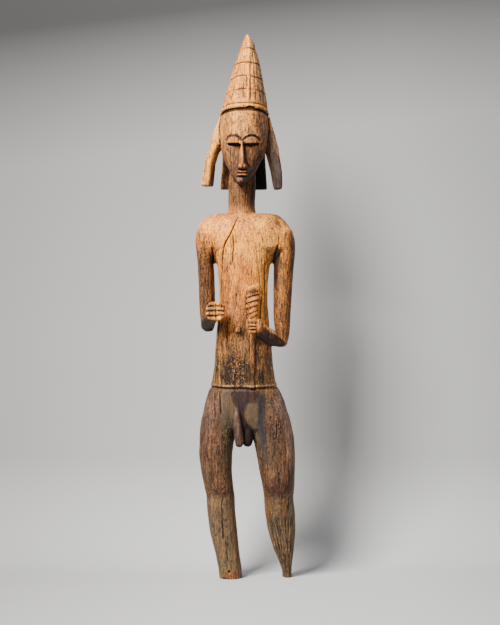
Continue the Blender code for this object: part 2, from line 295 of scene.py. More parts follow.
def cut(route, half_width, depth, where, dark=0.8, taper=0.12, floor=0.15):
    """Cuts a groove along a route on the front, so many mm deep, and darkens it: dirt in the cracks, painted
    shade in the creases and slits.

    The taper is the share of its length over which each end narrows, and the floor is the share of
    its half width that is flat.
    """
    xs, ys = zip(*route)
    near = (column > min(xs) - 4) & (column < max(xs) + 4) & (row > min(ys) - 4) & (row < max(ys) + 4)
    picked = np.flatnonzero(near & (front > 0) & where)
    off, along = distance_to(route, column[picked] + wander[picked] * GROOVE_WANDER, row[picked])
    ends = step(0, taper, along) * step(0, taper, 1 - along) if taper else 1
    width = half_width * (0.45 + 0.55 * ends)
    shape = (1 - step(floor, 1, off / width)) * (0.35 + 0.65 * ends) * front[picked]
    push[picked] = np.minimum(push[picked], -depth * MM * shape)
    stain_and_shade[picked] = np.maximum(stain_and_shade[picked], dark * shape)


def cut_all(grooves, where, **looks):
    """Cuts grooves that are each given as (route, half width in pixels, depth in mm)."""
    for route, half_width, depth in grooves:
        cut(route, half_width, depth, where, **looks)


# Parts of the figure
on_torso = (aside < 58) & (through > -46) & (up > 352) & (up < 660)
on_head = (up > 715) & (up < 850) & (np.abs(across + 1) < 47)
on_right_fist = through < -44
in_hand = (through < -38) & (up > 430) & (up < 545)
beside_hilt = (up > 470) & (up < 540)
arms = step(50, 56, aside) * step(612, 585, up) * step(425, 440, up)
legs = step(352, 340, up)

TORSO_CRACKS = (
    # (route, half width, depth)
    (((238.7, 217), (235.3, 222.9), (231.2, 231.7), (229.5, 235.8), (226.2, 241.7), (224.1, 246.7),
      (222.8, 253.3), (222, 261.7), (221.2, 280), (220.6, 300)), 1.05, 3.2),
    (((220.6, 296), (219, 325), (217.5, 345), (217.5, 372)), 0.7, 1.8),
    (((233.3, 232.5), (233.7, 245), (232.8, 258.3), (231.6, 266)), 0.75, 2.2),
    (((258.2, 262), (259.2, 276), (260.3, 288)), 0.6, 1.4),
    (((265.2, 255), (264.6, 272), (264.6, 300), (266, 324)), 0.8, 2.0),
    (((279, 236.5), (278.8, 243.5)), 0.6, 1.6),
    (((227.4, 319), (227.2, 345)), 0.6, 1.6),
)
ARM_CREASES = (
    (((211.2, 246), (213, 256), (214.8, 266), (215.8, 273)), 1.5, 3.2),
    (((279, 243), (276.4, 252), (273, 262), (270, 274)), 1.5, 3.2),
)
HEAD_CRACKS = (
    (((231.6, 118), (232, 127), (231.8, 135)), 0.55, 0.9),
    (((258.3, 129), (258.6, 136)), 0.5, 0.7),
    (((230.2, 147), (230.6, 160), (231.5, 174)), 0.7, 1.0),
    (((246.5, 184), (246, 197), (245.5, 206)), 0.7, 1.2),
    (((239.5, 186), (240, 206)), 0.5, 0.8),
)
LEG_CRACKS = (
    (((214.3, 389), (214.5, 402), (215.5, 420)), 0.7, 1.8),
    (((219, 393), (220.5, 405), (221.3, 415)), 1.1, 3.0),
    (((222.2, 496), (222, 510), (222.8, 524)), 0.6, 1.6),
    (((222.5, 520), (223, 530), (223.4, 540)), 1.1, 3.4),
    (((226.8, 543), (227.3, 561)), 0.7, 1.2),
    (((281, 498), (281.4, 519)), 0.6, 1.4),
    (((288.6, 497), (288.2, 514)), 0.6, 1.2),
    (((276.2, 421), (277, 430), (276.6, 440)), 0.9, 2.2),
)
cut_all(TORSO_CRACKS, on_torso | (up > 500), dark=0.95)
# the darkening along the creases between the arms and the torso is painted shade
cut_all(ARM_CREASES, through > -42, taper=0.15)
cut_all(HEAD_CRACKS, (up > 668) & (up < 850), dark=0.55)
cut_all(LEG_CRACKS, up < 352)

# Brows, eyes, nose and mouth
BROWS = (
    (((225.8, 141.5), (226.4, 139.4), (228.1, 136.7), (231.8, 135.2), (236, 135.4), (239.3, 137.5),
      (241.6, 141)), 1.75, 2.2),
    (((242.1, 141), (245.2, 137.9), (249.3, 135.8), (254.3, 135.7), (258.1, 137.5), (260.2, 140.2),
      (260.8, 142)), 1.75, 2.2),
)
NOSE_SIDES = (
    (((240.3, 146), (240.3, 158), (239.6, 162.4), (237.9, 163.8), (237.1, 166.6), (237.9, 168.8)), 0.85, 1.3),
    (((244.5, 146), (244.8, 158), (245.6, 162.2), (247.6, 163.6), (248.9, 166.3), (248.2, 168.6)), 0.85, 1.3),
)
NOSE_TIP = ((242.9, 165), (243.1, 168.4))
NOSTRILS = ((239.7, 166.4, 2.1, 1.9), (246.7, 166.2, 2.1, 1.9))
EYES = (
    (((227.4, 144.0), (233, 145.0), (240.8, 145.2)), 2.0, 4.5),
    (((243.8, 145.2), (251, 145.3), (259.8, 144.0)), 2.0, 4.5),
)
MOUTH = ((236.6, 173.2), (248.6, 173.3))
BELOW_MOUTH = ((237, 176.6), (248, 176.7))
BELOW_NOSE = ((237.8, 168.9), (243, 170), (248.2, 168.7))

# The cheeks are sunken on both sides of the nose, which widens going down
NOSE_LINE = ((143, 242.3), (170, 243.1))  # (row, column)
NOSE_EDGE = ((143, 1.5), (157, 1.9), (161.5, 2.6), (165, 4.4), (170, 4.9))  # (row, half width)
RIGHT_CHEEK_EDGE = ((143, 15.5), (158, 13), (174, 7))  # (row, distance from the nose's line)
LEFT_CHEEK_EDGE = ((143, 17), (158, 14.5), (174, 7.5))
CHEEK_DEPTH = 4.2


def down(table):
    """A table's value at each corner's row."""
    return np.interp(row, *zip(*table))


def sunken_cheeks():
    from_nose = column - down(NOSE_LINE)
    nose_edge = down(NOSE_EDGE)
    cheek_edge = np.where(from_nose < 0, down(RIGHT_CHEEK_EDGE), down(LEFT_CHEEK_EDGE))
    from_nose = np.abs(from_nose)
    sunken = step(nose_edge - 0.2, nose_edge + 1.0, from_nose)
    sunken *= step(cheek_edge, cheek_edge * 0.35, from_nose)
    sunken *= step(143.2, 145, row) * (0.45 + 0.55 * step(172, 148, row)) * step(175, 169, row)
    return sunken * front * on_head


cut_all(BROWS, on_head, taper=0.05, floor=0.25)
raise_by(-CHEEK_DEPTH, sunken_cheeks())
cut_all(NOSE_SIDES, on_head, dark=0.7, taper=0.02)
for nostril in NOSTRILS:
    raise_by(2.6, step(1.2, 0.3, round_place(*nostril)) * on_head * front)
cut(NOSE_TIP, 0.75, 1.0, on_head, dark=0.4, taper=0)
# The eye slits are darkened as painted shadow under the lids, and the lines under the nose and the lips as
# painted shadow under them
cut_all(EYES, on_head, dark=0.95, floor=0.5)
cut(MOUTH, 0.6, 1.3, on_head)
cut(BELOW_MOUTH, 1.2, 1.6, on_head, floor=0.3)
cut(BELOW_NOSE, 1.1, 1.8, on_head, floor=0.3)

# Where the locks leave the head, in creases darkened with painted shade
LOCK_CREASES = (
    (((220.6, 116), (219.8, 128), (220.3, 142), (221.5, 150)), 1.1, 3),
    (((268.2, 117), (268.9, 130), (267.6, 145)), 1.1, 3),
)
cut_all(LOCK_CREASES, (up > 760) & (up < 852), dark=0.85, taper=0.1)

# The cap's grid, its seam and its rim
CAP_LINE = (
    # (height, across, through)
    (850, -0.5, 1.5), (879, 1.3, 3), (916, 3.5, 6), (953, 5, 9), (984, 6.5, 12), (1000, 4.5, 12),
)
CAP_RINGS = (967.5, 937.7, 909, 882.4)  # heights
CAP_STAVES = (-150, -128, -103, -78, -56, -31, -6, 24, 36, 52, 70, 92, 115, 138, 160, 180)  # degrees
CAP_SEAM = 6  # degrees
RIM_GROOVE = 858.6  # the height of the line over the rim
RIM_NICK = ((247, 107.6), (250, 106.6), (254, 107.8))
SEAM_CRACK = ((249.9, 61), (250.6, 80), (251.2, 100))
line_heights, line_across, line_through = zip(*CAP_LINE)
cap_x = across - np.interp(up, line_heights, line_across)
cap_y = through - np.interp(up, line_heights, line_through)
cap_height = up + CAP_SLOPE * cap_y
cap_angle = np.degrees(np.arctan2(cap_x, -cap_y))
cap_radius = np.hypot(cap_x, cap_y)
cap = step(864, 867, cap_height) * step(999, 990, cap_height)
rim = step(849, 850.5, cap_height) * step(858, 856.5, cap_height)
worn = 0.4 + 0.6 * step(0.2, 0.5, noise(shares, (16, 16, 16), 11))  # some of the lines are worn faint

ring_wander = 3 * swing((12, 12, 12), 12)
for height in CAP_RINGS:
    off = np.abs(up + RING_SLOPE * cap_y - height + ring_wander)
    press(1.5, (1 - step(0.4, 2.1, off)) * cap * worn, dark=0.95)
stave_wander = 1.2 * swing((10, 10, 25), 13)
for angle in CAP_STAVES:
    turn = (cap_angle - angle + 180) % 360 - 180
    off = np.abs(np.radians(turn)) * cap_radius + stave_wander
    line = (1 - step(0.2, 1.5, np.abs(off))) * cap * step(985, 950, cap_height)
    line *= 0.25 + 0.75 * step(0.3, 0.55, noise(shares, (14, 14, 22), 14 + angle))
    press(1.2, line, dark=0.75)

turned = np.column_stack((cap_angle, through * 0, cap_height))
flutes = noise(turned, (4.5, 1, 26), 15) * 0.6 + noise(turned, (2.2, 1, 14), 16) * 0.4
flutes = step(0.56, 0.75, flutes) * cap * step(990, 930, cap_height)
raise_by(-0.9, flutes)
darken(0.5, flutes * step(960, 880, cap_height))

under_rim_shadow = step(842.5, 846, cap_height) * step(850.6, 849.2, cap_height)
under_rim_shadow *= np.hypot(cap_x / 46, cap_y / 55) < 1.02
# painted shadow under the cap's rim, darkened in its deepened undercut
press(2.4, under_rim_shadow, dark=0.85)
press(0.9, (1 - step(0.3, 1.8, np.abs(cap_height - RIM_GROOVE))) * worn, dark=0.7)
raise_by(0.7, rim)
cut(RIM_NICK, 1.6, 3, up > 840, dark=0.95, taper=0, floor=0.4)
cut(SEAM_CRACK, 0.8, 1.2, up > 860, dark=0.6)
raise_by(1.5, swing((8, 8, 11), 17) * cap)
seam = (1 - step(1.5, 2.6, np.abs(np.radians(cap_angle - CAP_SEAM)) * cap_radius)) * cap
raise_by(0.8, seam)

# Fists, hilt and staff
RIGHT_FIST_GROOVES = (
    (((215.4, 303), (216.2, 308), (215.6, 313), (216, 321)), 1.25, 2.6),
    (((206.8, 306.9), (211, 306.2), (215.5, 306.6)), 1.25, 1.3),
    (((216, 305.8), (220, 306.6), (225, 306.6)), 1.25, 1.3),
    (((206.4, 311.2), (215, 310.6), (225.6, 311.2)), 1.25, 1.3),
    (((206.8, 315.4), (211, 316), (215.6, 315.4)), 1.25, 1.3),
    (((216, 316), (220, 315), (225.4, 315.5)), 1.25, 1.3),
    (((221.6, 304), (221.4, 311)), 1.25, 1.0),
    (((210.4, 311), (210.8, 319)), 1.25, 1.0),
)
LEFT_FIST_GROOVES = (
    (((247.6, 323.9), (252, 323.4), (256.6, 323.6)), 1.2, 1.8),
    (((247.8, 327.1), (252, 326.7), (256.8, 326.9)), 1.2, 1.8),
    (((248.6, 330.1), (252, 329.8), (256.4, 329.9)), 1.2, 1.8),
    (((256.9, 321), (257.2, 327), (256.6, 333)), 1.2, 1.8),
)
HILT_GROOVES = (
    (((246.6, 298.2), (259.8, 294.6)), 2.1, 3),
    (((246.9, 303.8), (259.4, 300)), 2.1, 3),
    (((247.4, 309.3), (259.4, 305.2)), 2.1, 3),
    (((248, 314.4), (259.2, 310.5)), 2.1, 3),
    (((249, 318.6), (258.6, 315.8)), 2.1, 3),
)
HILT_TOP_NICKS = tuple((((x, 290.5), (x + 0.3, 295)), 0.7, 1) for x in (249.5, 252, 254.5, 257))
STAFF_EDGES = (
    (((249.2, 334), (250.4, 384)), 0.9, 0.9),
    (((256.4, 334), (255.8, 384)), 0.9, 0.9),
)
HILT_RIGHT_EDGE = ((245.6, 294), (246.2, 310), (247, 320))
HILT_LEFT_EDGE = ((261.2, 296), (260.8, 310), (260, 324))
cut_all(RIGHT_FIST_GROOVES, in_hand, dark=0.32, taper=0.08, floor=0)
cut_all(LEFT_FIST_GROOVES, in_hand, dark=0.6, taper=0.08, floor=0)
cut_all(HILT_GROOVES, in_hand, dark=0.6, taper=0, floor=0)
cut_all(HILT_TOP_NICKS, in_hand, dark=0.5)
cut_all(STAFF_EDGES, (through < -30) & (up > 356), dark=0.25, taper=0.2)
# the dark line beside the hilt's left edge is its painted cast shadow on the belly
cut(HILT_LEFT_EDGE, 1.2, 2, beside_hilt, dark=0.7, taper=0.1)
cut(HILT_RIGHT_EDGE, 0.8, 1.6, beside_hilt, dark=0.55, taper=0.1)

# The groin's forms are full and touch each other
raise_by(2.6, step(1.1, 0.5, round_place(249, 438, 5, 10)) * (through < -14) * (up < 300))
raise_by(1.2, step(1.1, 0.5, round_place(239.5, 438, 5, 12)) * (through < -28) * (up < 300))

# The belt's ridge, chipped and worn at the sides, with painted shadow under it, and the hips set in below it
belt_off = up - BELT_HEIGHT - BELT_TILT * through
ridge = 1 - step(0.6, 3.4, np.abs(belt_off))
below_belt = 1 - step(1.0, 3.6, np.abs(belt_off + 5.2))
unworn = 0.2 + 0.8 * step(0.3, 0.6, noise(shares, (7, 7, 7), 18))
unworn *= 0.45 + 0.55 * step(60, 20, np.abs(across + 2))
raise_by(1.1, ridge * unworn)
raise_by(-1.0, below_belt)
darken(0.4, below_belt * (0.4 + 0.6 * unworn))

# The grain stands out, and an adze has left the broad forms a little uneven
rough_wood = np.clip(legs + 0.5 * step(470, 380, up) + 0.3 * arms, 0, 1)
raise_by(1, swing((2.3, 2.3, 30), 21) * (0.35 + 0.5 * rough_wood) * (1 - 0.7 * cap))
raise_by(1, swing((1.6, 1.6, 12), 22) * (0.15 + 0.3 * rough_wood))
raise_by(0.9, swing((15, 15, 26), 23))

# Pits: worn and insect-eaten places on the legs and the lower belly
PITTED_PLACES = (
    # (place, how pitted it is)
    ((234, 370, 13, 14), 0.3),
    ((228, 438, 6, 12), 0.8),
    ((276, 430, 5, 14), 0.7),
)
pitted = 0.3 * legs * (0.3 + 0.7 * step(140, 165, up))
for place, amount in PITTED_PLACES:
    pitted += amount * step(1.4, 0.6, round_place(*place)) * front
pitted = np.clip(pitted, 0, 1)
pits = step(0.66, 0.8, noise(shares, (3.0, 3.0, 6.5), 31) + 0.12 * pitted - 0.12) * pitted
raise_by(-1.1, pits)
darken(0.4, pits)

# The lost foot of the left leg: long slanting gullies along its worn inner side
TOE = (288, 592)  # the gullies run towards it
fan = (column - TOE[0]) / np.maximum(TOE[1] - row, 12) * 1000
fanned = np.column_stack((fan, through, up))
worn_end = step(128, 104, up) * step(20, 30, across) * (0.35 + 0.65 * front)
gullies = 0.6 * step(0.45, 0.8, noise(fanned, (22, 12, 40), 41))
gullies += 0.6 * step(0.45, 0.8, noise(fanned, (11, 6, 16), 42))
raise_by(-2.2, gullies * worn_end)
raise_by(3.4, swing((7, 7, 10), 43) * worn_end * step(70, 50, across))
darken(0.6, np.clip(gullies, 0, 1) * worn_end)

# A peg hole in the right stump
PEG_HOLE = (229.2, 571.8, 1, 1)
hole = (1 - step(0.7, 1.5, round_place(*PEG_HOLE))) * front * (up < 60)
raise_by(-4, hole)
darken(1, hole)

surface.places += normals * push[:, None]

# The right fist is round: its corners are drawn in
FIST_ACROSS, FIST_UP, FIST_WIDE, FIST_TALL = -53.5, 489, 16.5, 18
reach = np.hypot((across - FIST_ACROSS) / FIST_WIDE, (up - FIST_UP) / FIST_TALL)
drawn_in = 1 - np.clip(reach, 1, None) ** -0.8
drawn_in *= step(-46, -54, through) * (reach < 1.6)
surface.places[:, 0] -= drawn_in * (across - FIST_ACROSS) * SHARE
surface.places[:, 2] -= drawn_in * (up - FIST_UP) * SHARE

# A chip out of the right stump's lower edge
CHIP_HEIGHT = 3 * MM
chip = step(221.5, 223, column) * step(227.5, 226, column) * (through < -6) * (up < 12)
surface.places[:, 2] = np.maximum(surface.places[:, 2], CHIP_HEIGHT * chip)

# Hollows hold dirt and are darkened with painted shade, and edges are rubbed pale and lightened with painted
# highlights
normals = surface.normals()
close_hollow = surface.hollow(normals, 4)
wide_hollow = surface.hollow(normals, 40)
dirt_and_hollow_shade = step(0.08, 0.5, close_hollow) * 0.7 + step(0.5, 3.5, wide_hollow) * 0.5
rubbed_and_highlit = step(0.08, 0.5, -close_hollow) * 0.6 + step(0.3, 2.5, -wide_hollow) * 0.5
# Painted shade: faces that look down are darkened
painted_underside_shade = step(-0.25, -0.75, normals[:, 2]) * step(180, 220, up)
lee_painted_shade = step(0.1, 0.9, normals[:, 0]) * step(540, 600, up)  # the side that looks away from the light

# The wood's tone, from 0, dark, to 1, pale, and how much of each tint it has
wood = {name: np.zeros(surface.count) for name in ("tone", "red", "olive", "grey", "orange")}


def tint(where, **amounts):
    """Adds these amounts to the wood's tone and tints where a mask is 1."""
    for name, amount in amounts.items():
        wood[name] += amount * where


ragged_edge = swing((5, 5, 14), 51)
edge_column = column + wander * EDGE_WANDER


def patch(x, y, half_width, half_height, lean=0.0, ragged=0.5):
    """A soft patch on the front, 1 in its middle and 0 outside. It leans to the right going down."""
    dx = (column - x - lean * (row - y)) / half_width
    dy = (row - y) / half_height
    return step(1.15, 0.75, np.hypot(dx, dy) + ragged_edge * ragged) * front


def area(corners, soft=1.3):
    """1 inside a shape on the front and 0 outside it, with an edge that is soft over some pixels."""
    off, _ = distance_to((*corners, corners[0]), edge_column, row)
    inside = np.zeros(surface.count, bool)
    for (ax, ay), (bx, by) in zip(corners, corners[1:] + corners[:1]):
        crosses = (ay > row) != (by > row)
        inside ^= crosses & (edge_column < ax + (row - ay) * (bx - ax) / (by - ay + 1e-9))
    return step(-soft, soft, np.where(inside, off, -off)) * front


# Broad tones and tints
TONE_BY_HEIGHT = (
    # (height, tone)
    (0, 0.43), (60, 0.40), (145, 0.385), (158, 0.31), (250, 0.31), (345, 0.33), (356, 0.36), (400, 0.46),
    (470, 0.60), (560, 0.80), (640, 0.90), (662, 0.74), (690, 0.38), (725, 0.38), (760, 0.56), (800, 0.66),
    (850, 0.76), (1000, 0.84),
)
shins = step(160, 140, up)
low_belly = step(440, 400, up) * step(350, 360, up)
tint(np.interp(up, *zip(*TONE_BY_HEIGHT)), tone=1)
tint(step(352, 335, up) * step(140, 165, up), red=0.41)
tint(shins, olive=0.65)
tint(legs, olive=0.15, tone=-0.02)
tint(step(352, 300, up), grey=0.15)
tint(step(350, 450, up) * (1 - legs), orange=0.45)
tint(step(735, 700, up) * step(665, 680, up), orange=0.3)
# Painted shade: the side that looks away from the light is darker
tint(lee_painted_shade, tone=-0.24)

# The arms are darker, and the right one most of all, down to an uneven line
arm_line = up + 60 * swing((14, 14, 22), 55) + 0.9 * (90 - aside)
dark_arms = step(655, 590, arm_line) * step(48, 60, aside) * step(425, 440, up)
tint(dark_arms * (0.36 + 0.10 * (across < 0) - 0.16 * step(560, 470, up)), tone=-1)
tint(dark_arms, orange=0.35)

# Streaks down the grain, and clouds over the body
streaks = swing((2.6, 2.6, 48), 53)
tint_streaks = swing((3.4, 3.4, 70), 54) * legs
clouds = swing((13, 13, 20), 63) * (1 - legs)
tint(streaks * (0.12 + 0.20 * legs + 0.3 * low_belly), tone=1)
tint(tint_streaks, red=1)
tint(np.clip(-tint_streaks, 0, 1), olive=1.2)
tint(clouds, tone=0.22)
tint(np.clip(-clouds, 0, 1), orange=0.9)
tint(np.clip(clouds, 0, 1), grey=0.7)

# The belt, and the stains of the hips below it
PURPLE = ((230.5, 391), (249, 390.5), (249.5, 402), (245, 412), (246, 424), (241.5, 421), (237, 411))
DARK_BLOCK = ((247.5, 391), (259.5, 391), (257, 403), (247.5, 403.5))
OLIVE_WEDGE = ((244.2, 404.5), (257.8, 403), (258.6, 425), (261, 443), (256, 441), (249, 424))
OLIVE_STRIP = ((220.5, 391), (229.5, 391), (236.5, 412), (235, 424), (230, 470), (224, 470), (221, 430))
SLATE_BAND = ((258.8, 393), (264.5, 394), (265, 430), (272, 476), (263.5, 476), (260.5, 443), (257.8, 415))
SHADED_CROTCH = ((246, 421), (250, 424), (256.5, 441), (253.5, 447), (244.8, 447.5), (243.6, 430))
purple, dark_block, olive_wedge = area(PURPLE), area(DARK_BLOCK), area(OLIVE_WEDGE)
olive_strip = area(OLIVE_STRIP, 2.5) * step(480, 440, row)
slate = area(SLATE_BAND, 2.6) * step(475, 425, row)
loins = step(1.15, 0.7, round_place(239.5, 430, 5.2, 19)) * (through < -30) * (up < 330)
# painted highlight on the belt ridge's top
tint(ridge * unworn, tone=0.16)
tint(ridge * step(10, 40, across), olive=0.5)
tint(purple, tone=-0.23, red=0.5, grey=0.35)
tint(dark_block, tone=-0.20, red=0.7, grey=0.2)
tint(slate, tone=-0.22, red=-0.8, grey=0.75, olive=1)
tint(olive_wedge, tone=0.04, red=-0.8, olive=0.9)
tint(olive_strip, red=-0.7, olive=0.8)
wood["red"] *= 1 - 0.7 * np.clip(olive_wedge + olive_strip + slate, 0, 1)
tint(loins, tone=-0.16)
darken(0.97, area(SHADED_CROTCH) * (up < 320))

# The locks: the left one and the one behind it have painted shade, and the right one is pale, with a dark
# outer edge and painted shade along its inner edge
SHADED_LOCK = ((268.5, 122), (273, 132), (283.5, 175), (284, 192), (270, 192), (263.5, 165), (266.5, 145))
SHADED_BACK_LOCK = ((254, 165), (264, 150), (266.5, 192), (254, 193))
RIGHT_LOCK_OUTER_EDGE = ((219.4, 119), (214, 132), (207.6, 156), (202.7, 181))
RIGHT_LOCK_INNER_EDGE = ((218.6, 138), (217.6, 152), (211.2, 184))
shaded_lock = area(SHADED_LOCK) * (up < 820)
right_lock = step(-40, -50, across) * step(712, 720, up) * step(850, 840, up) * front
outer_off, _ = distance_to(RIGHT_LOCK_OUTER_EDGE, column, row)
inner_off, _ = distance_to(RIGHT_LOCK_INNER_EDGE, column + wander, row)
tint(shaded_lock, tone=-0.26, grey=0.7, olive=0.3, orange=-0.4)
darken(1, np.clip(1.6 * area(SHADED_BACK_LOCK) * (through > 8), 0, 1))
tint(right_lock, tone=0.42, grey=0.35)
tint(right_lock * (1 - step(0.2, 1.3, outer_off)), tone=-0.35)
# painted shade along the right lock's inner edge, where it meets the head
tint(right_lock * (1 - step(0.6, 3.2, inner_off)), tone=-0.28)

# Painted shade on the left armpit and the forearms' shaded sides, and a painted highlight on the left
# forearm's lit upper edge
ARMPIT_SHADE = ((276.5, 244), (281.5, 250), (280, 262), (276.5, 290), (272, 282), (269, 268))
RIGHT_FOREARM_BELOW = (
    (201, 320), (208, 324), (218, 324.5), (226.5, 320), (226.5, 327), (214, 334), (203, 332),
)
LEFT_FOREARM_FRONT = ((262.5, 328), (272, 333), (284, 341.5), (282, 347), (268, 345.5), (258, 337.5))
LEFT_FOREARM_LIT_EDGE = ((263.5, 325.6), (275, 333.2), (288, 342.5))
darken(0.9, area(ARMPIT_SHADE, 2.2) * (across > 50) * (through > -30))
tint(area(RIGHT_FOREARM_BELOW) + area(LEFT_FOREARM_FRONT), tone=-0.28, red=0.4, grey=0.3)
edge_off, _ = distance_to(LEFT_FOREARM_LIT_EDGE, column, row)
tint((1 - step(0.4, 1.3, edge_off)) * front * (through < 10), tone=0.34, grey=0.5)

# The cap and the head
# Painted light and shade on the cap: its lit side is more orange, and its shaded side greyer
tint(cap * (1 - lee_painted_shade), orange=0.25)
tint(cap * lee_painted_shade, tone=0.07, grey=1.6, olive=0.6)
# painted highlights along the rim band and the seam ridge
tint(rim, tone=0.12)
tint(seam, tone=0.14)
tint(swing((4, 4, 5), 61) * on_head, tone=0.35)
tint(step(0.45, 0.7, noise(shares, (12, 12, 14), 62)) * on_head * step(775, 800, up), grey=0.5)

ANYWHERE = 1
PATCHES = (
    # (patch, where it may be, what it adds)
    # Face
    # painted shade on the forehead's shaded side
    ((256, 124, 9, 15), on_head, {"tone": -0.12}),
    ((243, 155, 20, 32), on_head, {"grey": 0.4}),
    ((231, 160, 10, 16), on_head, {"tone": -0.16}),
    ((253, 160, 10, 16), on_head, {"tone": -0.10}),
    # painted highlights on the nose's wings
    ((240, 165.6, 2, 2.2), on_head, {"tone": 0.30}),
    ((245.9, 165.6, 2, 2.2), on_head, {"tone": 0.30}),
    ((243, 165, 15, 20), on_head, {"red": 0.3}),
    ((242.5, 174, 6.5, 2.6), ANYWHERE, {"tone": 0.16}),
    ((241.5, 181, 7, 4), ANYWHERE, {"grey": 0.3}),
    # Shoulders and chest
    ((205, 228, 14, 16), ANYWHERE, {"orange": 0.45}),
    ((222, 232, 34, 22), ANYWHERE, {"orange": 0.35}),
    # painted shade on the left shoulder
    ((277, 229, 11, 14), ANYWHERE, {"tone": -0.12}),
    ((238, 295, 24, 40), ANYWHERE, {"tone": -0.07, "orange": 0.5}),
    ((232, 300, 14, 45), ANYWHERE, {"orange": 0.5}),
    # Fists, hilt and staff
    ((216, 312, 12, 12), on_right_fist, {"tone": 0.24, "grey": 0.3}),
    ((253, 292, 8, 4), in_hand, {"tone": -0.20}),
    ((253.3, 307, 7.5, 10), in_hand, {"tone": 0.08}),
    ((259, 327, 5, 8), ANYWHERE, {"tone": -0.02}),
    ((259, 327, 4.5, 8), ANYWHERE, {"orange": 0.6}),
    ((252, 355, 3, 26), ANYWHERE, {"orange": 0.5}),
    ((252.5, 360, 3, 28), ANYWHERE, {"tone": -0.07}),
    # Belly
    ((243, 358, 40, 28), ANYWHERE, {"tone": -0.12}),
    ((233, 369, 15, 17, 0, 1.0), ANYWHERE, {"tone": -0.12}),
    # Thighs and groin
    ((209, 402, 6, 14), ANYWHERE, {"tone": 0.03}),
    ((207, 410, 8, 30), ANYWHERE, {"grey": 0.4}),
    # painted highlights: pale grey glints on the phallus's edge and on the left thigh's outer side
    ((236.4, 425, 3.4, 18), ANYWHERE, {"tone": 0.10, "grey": 0.6}),
    ((281, 402, 7, 15), ANYWHERE, {"tone": 0.06, "grey": 0.8, "red": -0.3}),
    ((289, 430, 4, 40, 0.03), ANYWHERE, {"tone": 0.17, "grey": 0.9, "red": -0.3}),
    # Knees, shins and the right stump's end
    ((278, 488, 13, 9), ANYWHERE, {"tone": -0.12, "red": 0.4}),
    ((215, 503, 7, 8), ANYWHERE, {"tone": 0.07}),
    ((266, 507, 7, 14), ANYWHERE, {"orange": 0.6, "olive": -0.6}),
    ((284, 508, 4.5, 13), ANYWHERE, {"orange": 0.7}),
    ((230, 575.5, 12, 4.5), ANYWHERE, {"tone": 0.03, "orange": 0.6, "olive": -0.7}),
)
for place, where, amounts in PATCHES:
    tint(patch(*place) * where, **amounts)
tint(step(60, 40, up) * (across > 20), tone=-0.05)

# Where the wood is crusted, and where its fine grain is calm
crust = patch(233, 369, 15, 17, 0, 1.0) + 0.5 * patch(228, 436, 7, 14) + 0.5 * patch(276.5, 430, 5, 12)
calm = purple + dark_block + olive_wedge + 0.7 * olive_strip + 0.8 * slate + 0.45 * legs + 0.15 * shins
calm += 0.4 * step(735, 715, up) * step(664, 675, up)
calm = np.clip(calm, 0, 1)
calm = np.maximum(calm, 0.7 * loins)
calm = np.maximum(calm, 0.75 * shaded_lock)
calm = np.maximum(calm, 0.4 * patch(243, 158, 18, 17) * on_head)
tint(streaks * calm * legs, tone=-0.3)

# Dirt and painted shade in the hollows, painted shade under things, and rubbing and painted highlights on the
# edges
tint(rubbed_and_highlit, tone=0.16)
tint(dirt_and_hollow_shade, tone=-0.3)
# painted shade under faces that look down
tint(painted_underside_shade, tone=-0.3)
darken(1, 0.8 * dirt_and_hollow_shade - 0.12)


def inside_box(places):
    """The places, each moved inside the solid's own box."""
    return np.clip(places, np.array(LOW) + BOX_MARGIN, np.array(HIGH) - BOX_MARGIN)


surface.places = inside_box(surface.places)
surface.write()
for name, values in {**wood, "stain_and_shade": stain_and_shade, "crust": crust, "calm": calm}.items():
    layer = surface.mesh.attributes.new(name, "FLOAT", "POINT")
    layer.data.foreach_set("value", np.clip(values, 0, 1).astype(np.float32))


def thin_out(mesh):
    """The carved piece, with fewer triangles where it is plain."""
    piece = bpy.data.objects.new("carved_figure", mesh)
    bpy.context.scene.collection.objects.link(piece)
    fewer = piece.modifiers.new("fewer", "DECIMATE")
    fewer.ratio = MOST_TRIANGLES / (2 * len(mesh.polygons))
    graph = bpy.context.evaluated_depsgraph_get()
    thin = bpy.data.meshes.new_from_object(piece.evaluated_get(graph))
    piece.modifiers.clear()
    piece.data = thin
    bpy.data.meshes.remove(mesh)
    corners = np.empty(len(thin.vertices) * 3, np.float32)
    thin.vertices.foreach_get("co", corners)
    corners = inside_box(corners.reshape(-1, 3))
    thin.vertices.foreach_set("co", corners.astype(np.float32).ravel())
    thin.update()
    thin.shade_smooth()
    return piece


